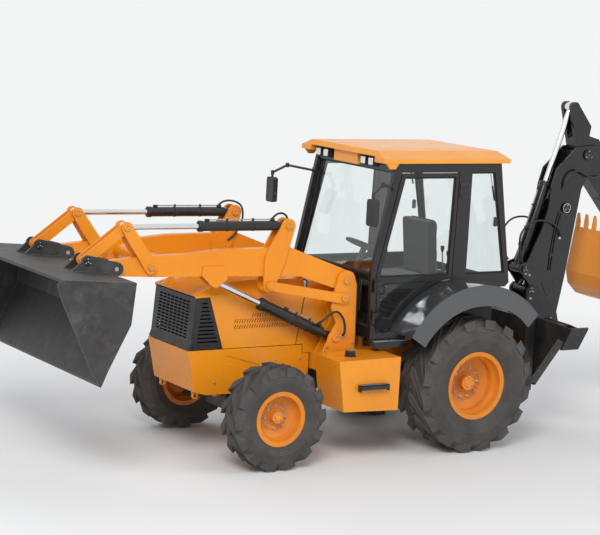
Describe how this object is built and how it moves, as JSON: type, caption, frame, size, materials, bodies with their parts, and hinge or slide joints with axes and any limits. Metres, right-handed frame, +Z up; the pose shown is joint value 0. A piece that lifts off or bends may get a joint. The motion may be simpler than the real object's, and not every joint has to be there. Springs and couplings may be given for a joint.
{
  "type": "backhoe loader",
  "caption": "Wheeled loader with a cab, a front bucket on linked arms, and a folded rear digging arm with stabiliser legs.",
  "frame": {"origin": "on the ground below the middle of the overall length, on the centre plane", "axes": "+X forward towards the loader bucket, +Y to the driver's left, +Z up"},
  "size_m": [7.7203, 2.3, 3.3482],
  "materials": {
    "orange_paint": "gloss",
    "black_paint": "gloss",
    "black_plastic": "matte",
    "bucket_steel": "worn satin",
    "rod_chrome": "polished",
    "cast_iron": "satin",
    "seat_fabric": "woven",
    "clear_glass": "clear",
    "tyre_rubber": "matte"
  },
  "bodies": {
    "chassis": {"frame": "orange_paint", "rear_frame": "black_paint", "powertrain": "cast_iron", "front_axle": "cast_iron", "rear_axle": "cast_iron", "nose": "orange_paint", "cowl": "orange_paint", "cab_frame": "black_paint", "roof": "orange_paint", "windows": "clear_glass", "cab_floor": "black_plastic", "seat": "seat_fabric", "controls": "black_plastic", "fenders": "black_paint", "side_boxes": "orange_paint", "mirrors": "black_plastic", "lamps": "black_plastic"},
    "hood": {"hood": "orange_paint", "grille": "black_plastic"},
    "door_left": {"door_left": "black_paint", "door_glass_left": "clear_glass"},
    "door_right": {"door_right": "black_paint", "door_glass_right": "clear_glass"},
    "knuckle_left": {"knuckle_left": "cast_iron"},
    "knuckle_right": {"knuckle_right": "cast_iron"},
    "wheel_front_left": {"tyre_front_left": "tyre_rubber", "rim_front_left": "orange_paint"},
    "wheel_front_right": {"tyre_front_right": "tyre_rubber", "rim_front_right": "orange_paint"},
    "wheel_rear_left": {"tyre_rear_left": "tyre_rubber", "rim_rear_left": "orange_paint"},
    "wheel_rear_right": {"tyre_rear_right": "tyre_rubber", "rim_rear_right": "orange_paint"},
    "loader_arms": {"loader_arms": "orange_paint"},
    "lower_links": {"lower_links": "orange_paint"},
    "lift_barrels": {"lift_barrels": "black_paint"},
    "lift_rods": {"lift_rods": "rod_chrome"},
    "tilt_barrels": {"tilt_barrels": "black_paint"},
    "tilt_rods": {"tilt_rods": "rod_chrome"},
    "front_levers": {"front_levers": "orange_paint"},
    "bucket_links": {"bucket_links": "orange_paint"},
    "loader_bucket": {"loader_bucket": "bucket_steel"},
    "swing_post": {"swing_post": "black_paint"},
    "boom": {"boom": "black_paint"},
    "boom_barrel": {"boom_barrel": "black_paint"},
    "boom_rod": {"boom_rod": "rod_chrome"},
    "dipper": {"dipper": "black_paint"},
    "dipper_barrel": {"dipper_barrel": "black_paint"},
    "dipper_rod": {"dipper_rod": "rod_chrome"},
    "tipping_levers": {"tipping_levers": "black_paint"},
    "tipping_link": {"tipping_link": "black_paint"},
    "crowd_barrel": {"crowd_barrel": "black_paint"},
    "crowd_rod": {"crowd_rod": "rod_chrome"},
    "hoe_bucket": {"hoe_bucket": "orange_paint"},
    "stabiliser_left": {"stabiliser_left": "black_paint"},
    "stabiliser_right": {"stabiliser_right": "black_paint"},
    "stabiliser_barrel_left": {"stabiliser_barrel_left": "black_paint"},
    "stabiliser_barrel_right": {"stabiliser_barrel_right": "black_paint"},
    "stabiliser_rod_left": {"stabiliser_rod_left": "rod_chrome"},
    "stabiliser_rod_right": {"stabiliser_rod_right": "rod_chrome"}
  },
  "joints": [
    {"name": "hood_lid", "type": "hinge", "parent": "chassis", "child": "hood", "pos_m": [0.91817, 0, 1.68], "axis": [0, -1, 0], "range_deg": [0, 50]},
    {"name": "door_left_hinge", "type": "hinge", "parent": "chassis", "child": "door_left", "pos_m": [0.36417, 0.722, 1.5], "axis": [0, 0, -1], "range_deg": [0, 80]},
    {"name": "door_right_hinge", "type": "hinge", "parent": "chassis", "child": "door_right", "pos_m": [0.36417, -0.722, 1.5], "axis": [0, 0, 1], "range_deg": [0, 80]},
    {"name": "steering_left", "type": "hinge", "parent": "chassis", "child": "knuckle_left", "pos_m": [1.52717, 0.68, 0.488], "axis": [0, 0, 1], "range_deg": [-25, 25]},
    {"name": "steering_right", "type": "hinge", "parent": "chassis", "child": "knuckle_right", "pos_m": [1.52717, -0.68, 0.488], "axis": [0, 0, 1], "range_deg": [-25.01, 25.01]},
    {"name": "front_wheel_left", "type": "hinge", "parent": "knuckle_left", "child": "wheel_front_left", "pos_m": [1.52717, 0.9, 0.488], "axis": [0, 1, 0], "continuous": true},
    {"name": "front_wheel_right", "type": "hinge", "parent": "knuckle_right", "child": "wheel_front_right", "pos_m": [1.52717, -0.9, 0.488], "axis": [0, 1, 0], "continuous": true},
    {"name": "rear_wheel_left", "type": "hinge", "parent": "chassis", "child": "wheel_rear_left", "pos_m": [-0.67983, 0.822, 0.657], "axis": [0, 1, 0], "continuous": true},
    {"name": "rear_wheel_right", "type": "hinge", "parent": "chassis", "child": "wheel_rear_right", "pos_m": [-0.67983, -0.822, 0.657], "axis": [0, 1, 0], "continuous": true},
    {"name": "loader_lift", "type": "hinge", "parent": "chassis", "child": "loader_arms", "pos_m": [0.59017, 0, 1.655], "axis": [0, 1, 0], "range_deg": [-40, 44]},
    {"name": "lower_links_swing", "type": "hinge", "parent": "chassis", "child": "lower_links", "pos_m": [0.62017, 0, 1.49], "axis": [0, 1, 0], "range_deg": [-40, 44]},
    {"name": "lift_barrels_swing", "type": "hinge", "parent": "chassis", "child": "lift_barrels", "pos_m": [0.68017, 0, 1.105], "axis": [0, 1, 0], "range_deg": [-40, 44]},
    {"name": "lift_rods_slide", "type": "slide", "parent": "lift_barrels", "child": "lift_rods", "axis": [0.9142, 0, 0.4052], "range_m": [-0.38758, 0.35235]},
    {"name": "bucket_tilt", "type": "hinge", "parent": "loader_arms", "child": "loader_bucket", "pos_m": [3.03017, 0, 1.85], "axis": [0, -1, 0], "range_deg": [0, 112]},
    {"name": "front_levers_swing", "type": "hinge", "parent": "loader_arms", "child": "front_levers", "pos_m": [2.68017, 0, 1.85], "axis": [0, -1, 0], "range_deg": [0, 78.16]},
    {"name": "bucket_links_swing", "type": "hinge", "parent": "front_levers", "child": "bucket_links", "pos_m": [2.93517, 0, 2.21], "axis": [0, -1, 0], "range_deg": [-51.58, 0]},
    {"name": "tilt_barrels_swing", "type": "hinge", "parent": "loader_arms", "child": "tilt_barrels", "pos_m": [1.26017, 0, 2.19], "axis": [0, -1, 0], "range_deg": [-1.53, 0]},
    {"name": "tilt_rods_slide", "type": "slide", "parent": "tilt_barrels", "child": "tilt_rods", "axis": [0.9999, 0, 0.0119], "range_m": [-0.55509, 0]},
    {"name": "backhoe_swing", "type": "hinge", "parent": "chassis", "child": "swing_post", "pos_m": [-2.09983, 0, 0.8], "axis": [0, 0, 1], "range_deg": [-90, 90]},
    {"name": "boom_lift", "type": "hinge", "parent": "swing_post", "child": "boom", "pos_m": [-2.25983, 0, 1.07], "axis": [0, -1, 0], "range_deg": [0, 110]},
    {"name": "boom_barrel_swing", "type": "hinge", "parent": "swing_post", "child": "boom_barrel", "pos_m": [-1.97983, 0, 1.4], "axis": [0, -1, 0], "range_deg": [0, 96.93]},
    {"name": "boom_rod_slide", "type": "slide", "parent": "boom_barrel", "child": "boom_rod", "axis": [-0.4258, 0, 0.9048], "range_m": [0, 0.65218]},
    {"name": "dipper_fold", "type": "hinge", "parent": "boom", "child": "dipper", "pos_m": [-2.62983, 0, 2.8], "axis": [0, 1, 0], "range_deg": [0, 85]},
    {"name": "dipper_barrel_swing", "type": "hinge", "parent": "boom", "child": "dipper_barrel", "pos_m": [-1.89983, 0, 1.62], "axis": [0, 1, 0], "range_deg": [0, 6]},
    {"name": "dipper_rod_slide", "type": "slide", "parent": "dipper_barrel", "child": "dipper_rod", "axis": [-0.3128, 0, 0.9498], "range_m": [-0.69071, 0]},
    {"name": "hoe_bucket_curl", "type": "hinge", "parent": "dipper", "child": "hoe_bucket", "pos_m": [-3.57983, 0, 1.66], "axis": [0, 1, 0], "range_deg": [0, 112]},
    {"name": "tipping_levers_swing", "type": "hinge", "parent": "dipper", "child": "tipping_levers", "pos_m": [-3.34936, 0, 1.93656], "axis": [0, 1, 0], "range_deg": [0, 64.45]},
    {"name": "tipping_link_swing", "type": "hinge", "parent": "tipping_levers", "child": "tipping_link", "pos_m": [-3.70889, 0, 1.92376], "axis": [0, 1, 0], "range_deg": [-70.96, 0]},
    {"name": "crowd_barrel_swing", "type": "hinge", "parent": "dipper", "child": "crowd_barrel", "pos_m": [-3.05616, 0, 2.69454], "axis": [0, 1, 0], "range_deg": [0, 6.06]},
    {"name": "crowd_rod_slide", "type": "slide", "parent": "crowd_barrel", "child": "crowd_rod", "axis": [-0.6462, 0, -0.7631], "range_m": [-0.37433, 0]},
    {"name": "stabiliser_left_leg", "type": "hinge", "parent": "chassis", "child": "stabiliser_left", "pos_m": [-1.83983, 0.36, 0.52], "axis": [-1, 0, 0], "range_deg": [0, 78]},
    {"name": "stabiliser_left_barrel_swing", "type": "hinge", "parent": "chassis", "child": "stabiliser_barrel_left", "pos_m": [-1.83983, 0.2, 1.2], "axis": [-1, 0, 0], "range_deg": [0, 1.2]},
    {"name": "stabiliser_left_rod_slide", "type": "slide", "parent": "stabiliser_barrel_left", "child": "stabiliser_rod_left", "axis": [0, 0.5015, -0.8652], "range_m": [0, 0.31417]},
    {"name": "stabiliser_right_leg", "type": "hinge", "parent": "chassis", "child": "stabiliser_right", "pos_m": [-1.83983, -0.36, 0.52], "axis": [1, 0, 0], "range_deg": [0, 78]},
    {"name": "stabiliser_right_barrel_swing", "type": "hinge", "parent": "chassis", "child": "stabiliser_barrel_right", "pos_m": [-1.83983, -0.2, 1.2], "axis": [1, 0, 0], "range_deg": [0, 1.2]},
    {"name": "stabiliser_right_rod_slide", "type": "slide", "parent": "stabiliser_barrel_right", "child": "stabiliser_rod_right", "axis": [0, -0.5015, -0.8652], "range_m": [0, 0.31417]}
  ],
  "couplings": [
    {"joint": "steering_right", "follows": "steering_left", "ratio": 1},
    {"joint": "lower_links_swing", "follows": "loader_lift", "ratio": 1},
    {"joint": "lift_barrels_swing", "follows": "loader_lift", "ratio": 1},
    {"joint": "lift_rods_slide", "follows": "loader_lift", "m_per_rad": -0.50457},
    {"joint": "front_levers_swing", "follows": "bucket_tilt", "ratio": 0.69782},
    {"joint": "bucket_links_swing", "follows": "bucket_tilt", "ratio": -0.46057},
    {"joint": "tilt_barrels_swing", "follows": "bucket_tilt", "ratio": -0.013661},
    {"joint": "tilt_rods_slide", "follows": "bucket_tilt", "m_per_rad": -0.28392},
    {"joint": "boom_barrel_swing", "follows": "boom_lift", "ratio": 0.88114},
    {"joint": "boom_rod_slide", "follows": "boom_lift", "m_per_rad": 0.33965},
    {"joint": "dipper_barrel_swing", "follows": "dipper_fold", "ratio": 0.070565},
    {"joint": "dipper_rod_slide", "follows": "dipper_fold", "m_per_rad": -0.46552},
    {"joint": "tipping_levers_swing", "follows": "hoe_bucket_curl", "ratio": 0.57548},
    {"joint": "tipping_link_swing", "follows": "hoe_bucket_curl", "ratio": -0.63356},
    {"joint": "crowd_barrel_swing", "follows": "hoe_bucket_curl", "ratio": 0.054093},
    {"joint": "crowd_rod_slide", "follows": "hoe_bucket_curl", "m_per_rad": -0.19144},
    {"joint": "stabiliser_left_barrel_swing", "follows": "stabiliser_left_leg", "ratio": 0.015415},
    {"joint": "stabiliser_left_rod_slide", "follows": "stabiliser_left_leg", "m_per_rad": 0.2307},
    {"joint": "stabiliser_right_barrel_swing", "follows": "stabiliser_right_leg", "ratio": 0.015415},
    {"joint": "stabiliser_right_rod_slide", "follows": "stabiliser_right_leg", "m_per_rad": 0.2307}
  ]
}
